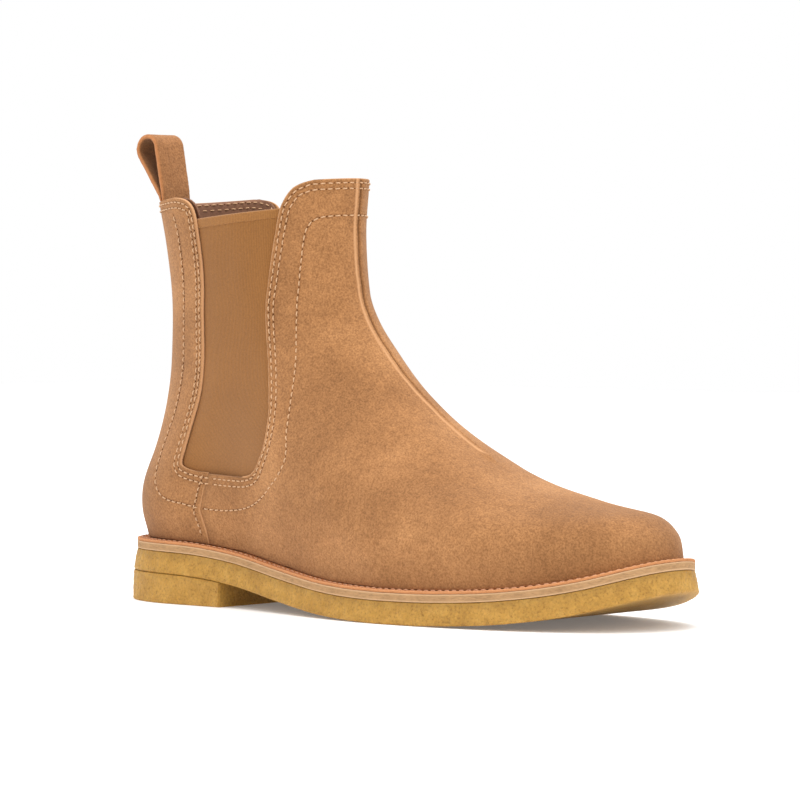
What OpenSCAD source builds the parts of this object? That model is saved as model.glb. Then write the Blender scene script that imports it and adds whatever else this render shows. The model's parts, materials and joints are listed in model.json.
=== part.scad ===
// Chelsea boot for the right foot: suede upper, elastic side gores, stitched crepe sole.
//
// X runs to the toe, +Y to the inner side of the foot, Z up. The origin is on the floor
// under the middle of the heel.
// The outside of the upper is one surface. A height t runs from 0 at the welt to 1 at the
// collar, and an angle phi runs round it: 0 at the toe, 90 on the outer side, 180 at the
// heel, negative on the inner side. Every piece of the upper is a patch of that surface
// between two depths, measured inwards from the outside face.

/* [Sizes] */
// Length of the crepe sole from heel to toe
boot_length = 310; // [290:1:330]
// Width of the sole across the ball of the foot
boot_width = 107; // [100:1:115]
// Height of the front of the collar above the floor
collar_height = 195; // [184:1:218]
// Rise of the toe above the floor
toe_spring = 14; // [8:1:18]

/* [Upper] */
// Thickness of the suede
suede_t = 1.6; // [1.2:0.1:1.8]
// Thickness of the elastic, the toe puff and the heel counter
core_t = 1.2; // [0.8:0.1:1.4]
// Thickness of the lining
lining_t = 0.9; // [0.6:0.1:1.1]
// Gap left between neighbouring layers
ply_gap = 0.3; // [0.2:0.05:0.4]
// Angle at the outside by which the panels lap over the elastic
gore_lap = 8; // [5:1:10]

/* [Sole] */
// Thickness of the welt
welt_t = 1.2; // [1.1:0.1:2.4]
// Thickness of the leather midsole
midsole_t = 3.6; // [3:0.1:4.5]
// Thickness of the crepe sheet under the whole foot
crepe_t = 10; // [8:0.1:11]
// Height of the crepe heel under that sheet
heel_lift_h = 13.8; // [10:0.2:18]
// Distance by which the welt stands out past the upper
welt_reach = 4.8; // [3.5:0.1:6]
// Distance from the back of the sole to the front of the heel
heel_length = 78; // [70:1:86]

/* [Pull loop] */
// Width of the strap
strap_w = 18.5; // [16:0.5:24]
// Thickness of the strap
strap_t = 2.3; // [1.8:0.1:2.8]
// Radius of the opening at the top of the loop
loop_r = 4.7; // [4:0.1:6]

/* [Hidden] */

SUEDE = [0.78, 0.57, 0.39];
SUEDE_EDGE = [0.62, 0.40, 0.25];
ELASTIC = [0.64, 0.45, 0.26];
LINING = [0.72, 0.55, 0.38];
CREPE = [0.78, 0.62, 0.32];
MIDSOLE = [0.80, 0.68, 0.53];
BOARD = [0.70, 0.60, 0.45];
CORK = [0.60, 0.45, 0.28];
STEEL = [0.70, 0.70, 0.72];

// The tables below are drawn for these sizes and scaled to the ones above.
kx = boot_length / 310;
ky = boot_width / 107;
kz = collar_height / 195;

// Gap between the stacked layers of the sole
stack_gap = 0.1;
stack = crepe_t + midsole_t + welt_t + 2 * stack_gap;

// Front line of the upper: t, x, height
FRONT = [
    [0, 264, 28], [0.04, 261, 41], [0.09, 249, 52], [0.16, 219.5, 59.4], [0.24, 187, 66.2],
    [0.34, 158, 76.9], [0.46, 132.2, 95.5], [0.58, 109.6, 119.5], [0.64, 100.8, 131],
    [0.70, 95.2, 143], [0.85, 92.3, 170], [1, 93.8, 195.6]
];
// Back line of the upper: t, x, height
BACK = [
    [0, -33, 29], [0.08, -35.5, 41], [0.16, -34, 53], [0.28, -26.6, 71], [0.42, -21, 92],
    [0.58, -19, 116], [0.78, -19.5, 146], [1, -26.5, 187]
];
// Half widths: t, heel, ball on the outer side, ball on the inner side
WIDTH = [
    [0, 29, 50, 43.5], [0.1, 33.5, 50.5, 45], [0.25, 34, 46, 41.5], [0.42, 30.5, 36.5, 32],
    [0.6, 27.5, 29.5, 26.5], [0.8, 27.5, 29, 27], [1, 32.5, 33, 30.5]
];
// Round ends: t, share of the length at the heel, share at the toe, squareness of the toe
ENDS = [
    [0, 0.15, 0.38, 2.3], [0.2, 0.2, 0.4, 2.2], [0.42, 0.32, 0.42, 2.1], [0.6, 0.42, 0.45, 2],
    [1, 0.5, 0.5, 2]
];
// Where the sole widens from the heel to the ball, as shares of the length
BALL_OUTER = [0.22, 0.62];
BALL_INNER = [0.40, 0.72];
// Sideways lean of the toe towards the inner side
toe_lean = 9;
// Rise of the sole over the flat of the ball: x, share of the heel, share of the toe spring
RISE = [
    [-36, 1, 0], [14, 0.97, 0], [46, 0.76, 0], [79, 0.40, 0], [114, 0.10, 0], [149, 0, 0],
    [179, 0, 0.03], [214, 0, 0.2], [244, 0, 0.56], [274, 0, 1.25]
];

// Edges of the panels round the elastic: t, angle. The upper edge of the back panels and
// of the front of the vamp turns a rounded corner.
GORE_FRONT = [
    [0.213, 104], [0.222, 100.5], [0.235, 98], [0.255, 95.5], [0.315, 89.5], [0.385, 84.5],
    [0.46, 80], [0.57, 74.2], [0.66, 69.5], [0.755, 64.5], [0.865, 58.5], [0.925, 55],
    [0.945, 53], [0.965, 50], [0.98, 46.5], [0.99, 41], [0.995, 35]
];
GORE_BACK = [
    [0.213, 121.5], [0.22, 125], [0.235, 127.5], [0.275, 126.5], [0.38, 122.3], [0.475, 117],
    [0.575, 112.7], [0.645, 110.3], [0.755, 107.7], [0.855, 106.4], [0.92, 106], [0.945, 106.5],
    [0.962, 108], [0.975, 111], [0.983, 115.5], [0.988, 122]
];
gore_bottom = 0.209;
gore_top = 0.906;
hem_top = 0.927;
// The back of the upper hinges at this height, where the quarter narrows into a strip.
bend_t = 0.2065;
side_seam = [[0, 127], [0.09, 125.5], [bend_t, 117.5]];
toe_puff_top = 0.17;

// ---------------------------------------------------------------- helpers

function mix(a, b, u) = a + (b - a) * u;
function clamp(x, lo, hi) = max(lo, min(hi, x));
function ease(a, b, x) = let (u = clamp((x - a) / (b - a), 0, 1)) u * u * (3 - 2 * u);
function steps(a, b, n) = [for (i = [0 : n]) mix(a, b, i / n)];

// Smooth curve through rows [x, a, b, ...], held level past its ends
function slope(k, i) =
    let (a = max(0, i - 1), b = min(len(k) - 1, i + 1)) (k[b] - k[a]) / (k[b][0] - k[a][0]);
function span(k, x) = max([for (i = [0 : len(k) - 2]) if (k[i][0] <= x || i == 0) i]);
function hermite(a, b, ga, gb, u) =
    (2 * pow(u, 3) - 3 * pow(u, 2) + 1) * a + (pow(u, 3) - 2 * pow(u, 2) + u) * ga
    + (3 * pow(u, 2) - 2 * pow(u, 3)) * b + (pow(u, 3) - pow(u, 2)) * gb;
function curve(k, x) =
    x <= k[0][0] ? k[0]
    : x >= k[len(k) - 1][0] ? k[len(k) - 1]
    : let (i = span(k, x), h = k[i + 1][0] - k[i][0])
        hermite(k[i], k[i + 1], h * slope(k, i), h * slope(k, i + 1), (x - k[i][0]) / h);
function line_at(k, x) =
    x <= k[0][0] ? k[0][1]
    : x >= k[len(k) - 1][0] ? k[len(k) - 1][1]
    : let (i = span(k, x)) mix(k[i][1], k[i + 1][1], (x - k[i][0]) / (k[i + 1][0] - k[i][0]));

// ---------------------------------------------------------------- surface of the upper

// Top of the welt above the floor
function feather(x) =
    let (r = curve(RISE, x / kx))
    stack + heel_lift_h * max(0, r[1]) + toe_spring * max(0, r[2]);

// Shape of the boot at height t: t, front x and z, back x and z, half widths, ends
function level(t) =
    let (f = curve(FRONT, t), b = curve(BACK, t), w = curve(WIDTH, t), e = curve(ENDS, t))
    [t, f[1] * kx, f[2] * kz, b[1] * kx, b[2] * kz, w[1] * ky, w[2] * ky, w[3] * ky,
     e[1], e[2], e[3]];
FEET = level(0);

// Half width at the share s of the length, grown by g
function half_width(v, s, outer, g) =
    let (
        ball = outer ? BALL_OUTER : BALL_INNER,
        body = mix(v[5], v[outer ? 6 : 7], ease(ball[0], ball[1], s)) + g,
        heel = 1 - clamp(s / v[8], 0, 1),
        toe = 1 - clamp((1 - s) / v[9], 0, 1)
    )
    body * sqrt(1 - heel * heel) * pow(1 - pow(toe, v[10]), 1 / v[10]);

function on_level(v, phi, g = 0) =
    let (
        s = (1 + cos(phi)) / 2,
        x = mix(v[3] - g, v[1] + g, s),
        outer = sin(phi) >= 0,
        w = half_width(v, s, outer, g),
        lean = toe_lean * s * s * (1 - ease(0, 0.5, v[0])),
        follow = (feather(x) - mix(FEET[4], FEET[2], s)) * (1 - ease(0, 0.4, v[0]))
    )
    [x, outer ? lean - w : lean + w, mix(v[4], v[2], s) + follow];

function unit(a) = a / norm(a);
// Inward direction at t, phi
function inward(t, phi) =
    let (
        v = level(t),
        round_it = on_level(v, phi + 1.5) - on_level(v, phi - 1.5),
        up = on_level(level(min(1, t + 0.01)), phi) - on_level(level(max(0, t - 0.01)), phi)
    )
    unit(cross(up, round_it)) * -1;

lift_off = 0.3;
function skin(t, phi, depth) =
    on_level(level(t), phi) + [0, 0, lift_off] + depth * inward(t, phi);

// ---------------------------------------------------------------- solids

// Closed solid between two grids of points with the same rows and columns
module between(outer, inner) {
    rows = len(outer);
    cols = len(outer[0]);
    size = rows * cols;
    function at(k, r, c) = k * size + r * cols + c;
    function quad(a, b, c, d) = [[a, c, b], [a, d, c]];
    faces = concat(
        [for (r = [0 : rows - 2], c = [0 : cols - 2])
            each quad(at(0, r, c), at(0, r + 1, c), at(0, r + 1, c + 1), at(0, r, c + 1))],
        [for (r = [0 : rows - 2], c = [0 : cols - 2])
            each quad(at(1, r, c), at(1, r, c + 1), at(1, r + 1, c + 1), at(1, r + 1, c))],
        [for (c = [0 : cols - 2])
            each quad(at(0, 0, c), at(0, 0, c + 1), at(1, 0, c + 1), at(1, 0, c))],
        [for (c = [0 : cols - 2], r = [rows - 1])
            each quad(at(0, r, c), at(1, r, c), at(1, r, c + 1), at(0, r, c + 1))],
        [for (r = [0 : rows - 2])
            each quad(at(0, r, 0), at(1, r, 0), at(1, r + 1, 0), at(0, r + 1, 0))],
        [for (r = [0 : rows - 2], c = [cols - 1])
            each quad(at(0, r, c), at(0, r + 1, c), at(1, r + 1, c), at(1, r, c))]
    );
    polyhedron(points = [for (g = [outer, inner], row = g) each row], faces = faces, convexity = 8);
}

// Angles from a to b. Round the front, the middle ones stay put while the edges move.
front_arc = 60;
function across(a, b, n) =
    a != -b ? steps(a, b, n)
    : let (mid = min(front_arc, 0.8 * b), side = round(n * 0.28))
        concat(steps(a, -mid, side), [for (p = steps(-mid, mid, n - 2 * side)) if (abs(p) < mid) p],
               steps(mid, b, side));

// Patch of the upper. rows holds [t, angle at one edge, angle at the other]; the second
// angle is the larger.
module patch(rows, cols, depth, thick) {
    function grid(d) = [for (r = rows) [for (p = across(r[1], r[2], cols)) skin(r[0], p, d)]];
    between(grid(depth), grid(depth + thick));
}

// Mirrors a patch's rows to the inner side of the foot
function inner_side(rows) = [for (r = rows) [r[0], -r[2], -r[1]]];

// Plan of the sole at x: [outer y, inner y], for an outline grown by g
function plan(x, g) =
    let (
        s = clamp((x - FEET[3] + g) / (FEET[1] - FEET[3] + 2 * g), 0, 1),
        lean = toe_lean * s * s
    )
    [lean - half_width(FEET, s, true, g), lean + half_width(FEET, s, false, g)];
function plan_start(g) = FEET[3] - g;
function plan_end(g) = FEET[1] + g;

// Stations along the sole, closer together at its two round ends
function stations(a, b, n, round_a = true, round_b = true) =
    [for (i = [0 : n]) let (
        u = i / n,
        v = round_a && round_b ? (1 - cos(180 * u)) / 2
            : round_a ? 1 - cos(90 * u)
            : round_b ? sin(90 * u)
            : u
    ) mix(a, b, v)];

// Layer of the sole between two heights above the feather line, with the plan grown by g.
// The bottom stands out by flare more than the top.
module slab(g, low, high, from, to, n = 36, flare = 0) {
    a = max(from, plan_start(g) + 0.01);
    b = min(to, plan_end(g) - 0.01);
    xs = stations(a, b, n, from < plan_start(g), to > plan_end(g));
    function edge(x, side, h, out) =
        let (
            u = (x - plan_start(g)) / (plan_end(g) - plan_start(g)),
            wide = mix(plan_start(g + out), plan_end(g + out), u)
        )
        [wide, plan(wide, g + out)[side], feather(wide) + h];
    top = [for (x = xs) [edge(x, 0, high, 0), edge(x, 1, high, 0)]];
    bottom = [for (x = xs) [edge(x, 0, low, flare), edge(x, 1, low, flare)]];
    between(top, bottom);
}

// Flat strip along the middle of the sole
module bar(x0, x1, y0, w, low, high, n) {
    function edge(x, y, h) = [x, y, feather(x) + h];
    xs = steps(x0, x1, n);
    function tip(x) = 0.25 + 0.75 * sqrt(1 - pow(abs(2 * (x - x0) / (x1 - x0) - 1), 3));
    top = [for (x = xs) [edge(x, y0 - tip(x) * w / 2, high), edge(x, y0 + tip(x) * w / 2, high)]];
    bottom = [for (x = xs) [edge(x, y0 - tip(x) * w / 2, low), edge(x, y0 + tip(x) * w / 2, low)]];
    between(top, bottom);
}

// ---------------------------------------------------------------- sole

everywhere = 1000;
welt_low = -welt_t;
mid_high = welt_low - stack_gap;
mid_low = mid_high - midsole_t;
crepe_high = mid_low - stack_gap;
crepe_low = crepe_high - crepe_t;
welt_ring = 9;
crepe_reach = welt_reach + 0.2;
crepe_flare = 1.4;
heel_flare = 0.4;

module crepe_sole() {
    color(CREPE)
    slab(crepe_reach, crepe_low, crepe_high, -everywhere, everywhere, 44, crepe_flare);
}

module crepe_heel() {
    g = crepe_reach + crepe_flare;
    a = plan_start(g) + 0.01;
    xs = stations(a, a + heel_length, 22, true, false);
    function edge(x, side, out) =
        let (wide = mix(a - out, a + heel_length, (x - a) / heel_length))
        [wide, plan(wide, g + out)[side]];
    function high(p) = [p[0], p[1], feather(p[0]) + crepe_low - stack_gap];
    function low(p) = [p[0], p[1], 0];
    top = [for (x = xs) [high(edge(x, 0, 0)), high(edge(x, 1, 0))]];
    bottom = [for (x = xs) [low(edge(x, 0, heel_flare)), low(edge(x, 1, heel_flare))]];
    color(CREPE)
    between(top, bottom);
}

module midsole() {
    color(MIDSOLE)
    slab(welt_reach, mid_low, mid_high, -everywhere, everywhere, 44);
}

// Strip of leather round the whole sole, under the edge of the upper
module welt() {
    n = 72;
    function ring(g, h) =
        [for (i = [0 : n]) let (p = on_level(FEET, i * 360 / n - 180 - 1e-9, g))
            [p[0], p[1], feather(p[0]) + h]];
    rings = [ring(welt_reach, 0), ring(welt_reach, welt_low),
             ring(-welt_ring, welt_low), ring(-welt_ring, 0)];
    pts = [for (r = rings, i = [0 : n - 1]) r[i]];
    function at(k, i) = (k % 4) * n + i % n;
    color(SUEDE_EDGE)
    polyhedron(points = pts, faces = [for (k = [0 : 3], i = [0 : n - 1])
        each [[at(k, i), at(k + 1, i + 1), at(k, i + 1)], [at(k, i), at(k + 1, i), at(k + 1, i + 1)]]],
        convexity = 6);
}

insole_inset = suede_t + core_t + lining_t + 2 * ply_gap + 1.6;
board_t = 2.4;
sock_t = 1.6;
pad_t = 2;

module insole_board() {
    color(BOARD)
    slab(-insole_inset, stack_gap, stack_gap + board_t, -everywhere, everywhere, 36);
}

shank_from = 16 * kx;
shank_to = 124 * kx;
shank_w = 15;
shank_t = welt_t - 0.4;
shank_low = welt_low + 0.2;

// The shank, with an allowance all round
module shank_blank(room) {
    bar(shank_from - room, shank_to + room, 0, shank_w + 2 * room, shank_low - room,
        shank_low + shank_t + room, 16);
}

module shank() {
    color(STEEL)
    shank_blank(0);
}

// Fills the hollow inside the welt, with a slot for the shank
cork_inset = welt_ring + 1.5;
shank_room = 1;
module cork_filler() {
    color(CORK)
    difference() {
        slab(-cork_inset, welt_low, 0, -everywhere, everywhere, 28);
        shank_blank(shank_room);
    }
}

// Two tacks driven through the shank into the midsole
TACK_X = [26 * kx, 114 * kx];
tack_head_d = 3;
tack_head_t = 0.2;
tack_d = 1.4;
tack_length = 4.8;
tack_top = shank_low + shank_t + 0.15;
module shank_tacks() {
    color(STEEL)
    for (x = TACK_X)
        translate([x, 0, feather(x) + tack_top]) {
            translate([0, 0, -tack_head_t])
                cylinder(d = tack_head_d, h = tack_head_t, $fn = 24);
            translate([0, 0, -tack_length])
                cylinder(d = tack_d, h = tack_length - tack_head_t / 2, $fn = 24);
        }
}

// Nails driven down through the heel seat into the crepe, heads flush with the insole board
NAILS = [[-20, 0], [-11, 10.5], [-11, -10.5], [10, 17], [10, -17], [28, 10], [28, -10]];
nail_d = 1.6;
nail_point_d = 0.6;
nail_point_h = 2;
nail_head_d = 3;
nail_head_t = 0.6;
nail_length = 14;
module heel_nails() {
    color(STEEL)
    for (p = NAILS)
        translate([p[0] * kx, p[1] * ky, feather(p[0] * kx) + board_t - nail_head_t / 2]) {
            translate([0, 0, -nail_head_t])
                cylinder(d = nail_head_d, h = nail_head_t, $fn = 24);
            translate([0, 0, nail_point_h - nail_length])
                cylinder(d = nail_d, h = nail_length - nail_point_h - nail_head_t / 2, $fn = 24);
            translate([0, 0, -nail_length])
                cylinder(d1 = nail_point_d, d2 = nail_d, h = nail_point_h, $fn = 24);
        }
}

module sock_liner() {
    color(LINING)
    slab(-insole_inset - 0.3, board_t + 2 * stack_gap, board_t + 2 * stack_gap + sock_t,
         -everywhere, everywhere, 36);
}

module heel_pad() {
    low = board_t + sock_t + 3 * stack_gap;
    color(SUEDE_EDGE)
    slab(-insole_inset - 4, low, low + pad_t, -everywhere, 38 * kx, 20);
}

// ---------------------------------------------------------------- upper

core_depth = suede_t + ply_gap;
lining_depth = core_depth + core_t + ply_gap;

// Rows of the vamp: it wraps the toe below the elastic and rises in front of it.
function vamp_edge(t) =
    t <= gore_bottom ? line_at(side_seam, t) - 0.6 : curve(GORE_FRONT, t)[1];
VAMP_T = concat(steps(0, 0.2, 10), [gore_bottom - 0.004, gore_bottom],
                [for (k = GORE_FRONT) k[0]], [0.285, 0.35, 0.42, 0.515, 0.615, 0.71, 0.81]);
function sorted(a) = len(a) < 2 ? a : let (p = a[0])
    concat(sorted([for (x = a) if (x < p) x]), [p], sorted([for (x = a) if (x > p) x]));
function both_sides(ts) = [for (t = ts) [t, -vamp_edge(t), vamp_edge(t)]];

module vamp() {
    color(SUEDE)
    patch(both_sides(sorted(VAMP_T)), 44, 0, suede_t);
}

// Lower part of a quarter, round the heel from the side seam to the back seam
back_seam_gap = 0.25;
function quarter_rows() =
    [for (t = steps(0, bend_t, 10)) [t, line_at(side_seam, t) + 0.2, 180 - back_seam_gap]];
module quarter_outer() {
    color(SUEDE)
    patch(quarter_rows(), 14, 0, suede_t);
}
module quarter_inner() {
    color(SUEDE)
    patch(inner_side(quarter_rows()), 14, 0, suede_t);
}

// Strip of the quarter that stands behind the elastic
function back_rows() =
    [for (t = sorted(concat([for (k = GORE_BACK) k[0]], [0.33, 0.43, 0.525, 0.7, 0.805])))
        [t, curve(GORE_BACK, t)[1], 180 - back_seam_gap]];
module back_panel_outer() {
    color(SUEDE)
    patch(back_rows(), 10, 0, suede_t);
}
module back_panel_inner() {
    color(SUEDE)
    patch(inner_side(back_rows()), 10, 0, suede_t);
}

// Elastic, lapped under the panels in front of it and behind it
function gore_rows(from, to, n) =
    [for (t = steps(from, to, n))
        [t, curve(GORE_FRONT, clamp(t, 0.255, 0.93))[1] - gore_lap,
         curve(GORE_BACK, clamp(t, 0.25, 0.93))[1] + gore_lap]];
gore_low = 0.2;
module gore_outer() {
    color(ELASTIC)
    patch(gore_rows(gore_low, gore_top, 18), 9, core_depth, core_t);
}
module gore_inner() {
    color(ELASTIC)
    patch(inner_side(gore_rows(gore_low, gore_top, 18)), 9, core_depth, core_t);
}
module gore_hem_outer() {
    color(ELASTIC * 0.9)
    patch(gore_rows(gore_top + 0.002, hem_top, 1), 9, core_depth - 0.1, core_t + 0.2);
}
module gore_hem_inner() {
    color(ELASTIC * 0.9)
    patch(inner_side(gore_rows(gore_top + 0.002, hem_top, 1)), 9, core_depth - 0.1, core_t + 0.2);
}

// Narrow strip that covers the back seam
module backstay() {
    color(SUEDE_EDGE)
    patch([for (t = steps(0.34, 0.96, 16)) [t, 171, 189]], 4, -1.3, 1.1);
}

// Ends of the strap, sewn flat between the back panels and the lining
module pull_loop_tails() {
    color(SUEDE)
    patch([for (t = steps(0.87, 0.985, 4)) [t, 166, 194]], 6, core_depth, core_t);
}

// Folded strap: two straight legs that meet in a rounded foot, and a round top
loop_top = [-33.6 * kx, 211 * kz];
loop_foot = [-24.6 * kx, 190.2 * kz];
foot_r = strap_t + 0.05;
function arc(centre, r, from, to, n) =
    [for (a = steps(from, to, n)) centre + r * [cos(a), sin(a)]];
module pull_loop() {
    leg = loop_foot - loop_top;
    aim = atan2(leg[1], leg[0]);
    outside = loop_r + strap_t;
    taper = acos((outside - foot_r) / norm(leg));
    hole_tip = loop_foot - unit(leg) * strap_t;
    hole_taper = acos(loop_r / norm(hole_tip - loop_top));
    color(SUEDE)
    translate([0, strap_w / 2, 0])
        rotate([90, 0, 0])
            linear_extrude(strap_w)
                difference() {
                    polygon(concat(arc(loop_top, outside, aim + taper, aim + 360 - taper, 28),
                                   arc(loop_foot, foot_r, aim - taper, aim + taper, 12)));
                    polygon(concat(arc(loop_top, loop_r, aim + hole_taper, aim + 360 - hole_taper, 28),
                                   [hole_tip]));
                }
}

// ---------------------------------------------------------------- stiffeners and linings

module toe_puff() {
    color(BOARD)
    patch([for (t = steps(0.01, toe_puff_top, 7)) [t, -44, 44]], 20, core_depth, core_t);
}

module heel_counter() {
    color(BOARD)
    patch([for (t = steps(0.01, gore_low - 0.008, 7)) [t, 130, 230]], 18, core_depth, core_t);
}

lining_top = 0.985;
module vamp_lining() {
    rows = [for (t = concat(steps(0.012, 0.2, 6), [gore_bottom - 0.004, gore_bottom, 0.213, 0.222, 0.255],
                         steps(0.3, 0.92, 10), [0.95, 0.97, lining_top]))
        [t, -vamp_edge(t), vamp_edge(t)]];
    color(LINING)
    patch(rows, 32, lining_depth, lining_t);
}

module heel_lining() {
    color(LINING)
    patch([for (t = steps(0.012, bend_t, 7)) [t, line_at(side_seam, t) + 0.8, 359.2 - line_at(side_seam, t)]],
          18, lining_depth, lining_t);
}

module back_lining() {
    rows = [for (r = back_rows()) if (r[0] < 0.985) [r[0], r[1], 360 - r[1]]];
    color(LINING)
    patch(rows, 14, lining_depth, lining_t);
}

crepe_sole();
crepe_heel();
midsole();
welt();
insole_board();
cork_filler();
shank();
shank_tacks();
heel_nails();
sock_liner();
heel_pad();
vamp();
quarter_outer();
quarter_inner();
back_panel_outer();
back_panel_inner();
gore_outer();
gore_inner();
gore_hem_outer();
gore_hem_inner();
backstay();
pull_loop();
pull_loop_tails();
toe_puff();
heel_counter();
vamp_lining();
heel_lining();
back_lining();
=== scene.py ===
"""Looks of the chelsea boot: suede upper, elastic sides, stitched welt and crepe sole.

The boot's outside is one surface, as in the CAD. A height t runs from 0 at the welt to 1 at
the collar, and an angle phi runs round it in degrees: 0 at the toe, 90 on the outer side,
180 at the heel, negative on the inner side. Surface functions work in millimetres.
"""

import json
import math

import bmesh
import bpy
import numpy as np
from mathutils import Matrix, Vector, noise


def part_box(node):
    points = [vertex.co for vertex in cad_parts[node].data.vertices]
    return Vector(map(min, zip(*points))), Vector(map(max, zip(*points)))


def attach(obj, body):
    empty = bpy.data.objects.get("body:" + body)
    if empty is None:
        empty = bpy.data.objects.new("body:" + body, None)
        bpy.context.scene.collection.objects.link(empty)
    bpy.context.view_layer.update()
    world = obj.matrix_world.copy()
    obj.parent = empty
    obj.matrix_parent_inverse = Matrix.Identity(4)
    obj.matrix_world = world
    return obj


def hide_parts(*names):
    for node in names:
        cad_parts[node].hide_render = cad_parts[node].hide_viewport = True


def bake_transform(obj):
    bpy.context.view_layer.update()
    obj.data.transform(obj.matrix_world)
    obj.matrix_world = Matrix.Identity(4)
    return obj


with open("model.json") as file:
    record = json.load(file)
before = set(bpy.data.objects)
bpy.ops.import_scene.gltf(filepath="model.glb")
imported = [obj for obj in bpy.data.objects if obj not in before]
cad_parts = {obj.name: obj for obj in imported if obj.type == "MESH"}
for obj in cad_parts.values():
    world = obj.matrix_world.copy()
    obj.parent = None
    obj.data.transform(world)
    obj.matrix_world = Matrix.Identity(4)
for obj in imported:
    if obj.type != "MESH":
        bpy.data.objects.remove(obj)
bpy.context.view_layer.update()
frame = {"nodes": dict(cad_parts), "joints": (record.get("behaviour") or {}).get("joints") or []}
MM = 0.001

# ---------------------------------------------------------------- sizes, from the frame

SOLE_LO, SOLE_HI = (np.array(c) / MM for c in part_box("crepe_sole"))
VAMP_HI = np.array(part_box("vamp")[1]) / MM
LOOP_LO, LOOP_HI = (np.array(c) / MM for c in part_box("pull_loop"))
LOOP_HINGE = np.array(next(j for j in frame["joints"] if j["name"] == "loop_folds")["pos_m"]) / MM
# The tables are drawn for a sole 309.8 mm long and 106.6 mm wide and a collar 195.2 mm high.
KX = (SOLE_HI[0] - SOLE_LO[0]) / 309.8
KY = (SOLE_HI[1] - SOLE_LO[1]) / 106.6
KZ = VAMP_HI[2] / 195.2

SUEDE_T, CORE_T, LINING_T, PLY_GAP = 1.6, 1.2, 0.9, 0.3
CORE_DEPTH = SUEDE_T + PLY_GAP
LINING_DEPTH = CORE_DEPTH + CORE_T + PLY_GAP
WELT_T, MIDSOLE_T, CREPE_T, STACK_GAP = 1.2, 3.6, 10.0, 0.1
HEEL_LIFT, TOE_SPRING = 13.8, 14.0
WELT_REACH = 4.8
CREPE_REACH, CREPE_FLARE, HEEL_FLARE = 5.0, 1.4, 0.4
LIFT_OFF = 0.3
STACK = CREPE_T + MIDSOLE_T + WELT_T + 2 * STACK_GAP

FRONT = np.array([
    [0, 264, 28], [0.04, 261, 41], [0.09, 249, 52], [0.16, 219.5, 59.4], [0.24, 187, 66.2],
    [0.34, 158, 76.9], [0.46, 132.2, 95.5], [0.58, 109.6, 119.5], [0.64, 100.8, 131],
    [0.70, 95.2, 143], [0.85, 92.3, 170], [1, 93.8, 195.6],
]) * [1, KX, KZ]
BACK = np.array([
    [0, -33, 29], [0.08, -35.5, 41], [0.16, -34, 53], [0.28, -26.6, 71], [0.42, -21, 92],
    [0.58, -19, 116], [0.78, -19.5, 146], [1, -26.5, 187],
]) * [1, KX, KZ]
WIDTH = np.array([
    [0, 29, 50, 43.5], [0.1, 33.5, 50.5, 45], [0.25, 34, 46, 41.5], [0.42, 30.5, 36.5, 32],
    [0.6, 27.5, 29.5, 26.5], [0.8, 27.5, 29, 27], [1, 32.5, 33, 30.5],
]) * [1, KY, KY, KY]
ENDS = np.array([
    [0, 0.15, 0.38, 2.3], [0.2, 0.2, 0.4, 2.2], [0.42, 0.32, 0.42, 2.1], [0.6, 0.42, 0.45, 2],
    [1, 0.5, 0.5, 2],
])
BALL_OUTER, BALL_INNER = (0.22, 0.62), (0.40, 0.72)
TOE_LEAN = 9
RISE = np.array([
    [-36, 1, 0], [14, 0.97, 0], [46, 0.76, 0], [79, 0.40, 0], [114, 0.10, 0], [149, 0, 0],
    [179, 0, 0.03], [214, 0, 0.2], [244, 0, 0.56], [274, 0, 1.25],
]) * [KX, 1, 1]
GORE_FRONT = np.array([
    [0.213, 104], [0.222, 100.5], [0.235, 98], [0.255, 95.5], [0.315, 89.5], [0.385, 84.5],
    [0.46, 80], [0.57, 74.2], [0.66, 69.5], [0.755, 64.5], [0.865, 58.5], [0.925, 55],
    [0.945, 53], [0.965, 50], [0.98, 46.5], [0.99, 41], [0.995, 35],
])
GORE_BACK = np.array([
    [0.213, 121.5], [0.22, 125], [0.235, 127.5], [0.275, 126.5], [0.38, 122.3], [0.475, 117],
    [0.575, 112.7], [0.645, 110.3], [0.755, 107.7], [0.855, 106.4], [0.92, 106], [0.945, 106.5],
    [0.962, 108], [0.975, 111], [0.983, 115.5], [0.988, 122],
])
GORE_BOTTOM, GORE_TOP, HEM_TOP, BEND_T = 0.209, 0.906, 0.927, 0.2065
SIDE_SEAM_T, SIDE_SEAM_PHI = [0, 0.09, BEND_T], [127, 125.5, 117.5]
# How far the front seam lies to the outer side of the middle: t, mm
FRONT_SEAM = np.array([[0.3, -0.3], [0.36, 0.2], [0.435, 1.0], [0.515, 2.8], [0.57, 3.4], [0.64, 2.7],
                       [0.705, 1.9], [0.86, 2.0], [1, 1.8]])


# ---------------------------------------------------------------- surface of the upper


def ease(a, b, x):
    u = np.clip((np.asarray(x, float) - a) / (b - a), 0, 1)
    return u * u * (3 - 2 * u)


def curve(k, x):
    """Smooth curve through rows [x, a, b, ...] at every x, held level past its ends."""
    x = np.clip(np.asarray(x, float), k[0, 0], k[-1, 0])
    i = np.clip(np.searchsorted(k[:, 0], x, side="right") - 1, 0, len(k) - 2)
    lo, hi = np.maximum(np.arange(len(k)) - 1, 0), np.minimum(np.arange(len(k)) + 1, len(k) - 1)
    slope = (k[hi, 1:] - k[lo, 1:]) / (k[hi, 0] - k[lo, 0])[:, None]
    h = (k[i + 1, 0] - k[i, 0])[..., None]
    u = (x[..., None] - k[i, 0][..., None]) / h
    return (
        (2 * u**3 - 3 * u**2 + 1) * k[i, 1:] + (u**3 - 2 * u**2 + u) * h * slope[i]
        + (3 * u**2 - 2 * u**3) * k[i + 1, 1:] + (u**3 - u**2) * h * slope[i + 1]
    )


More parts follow.
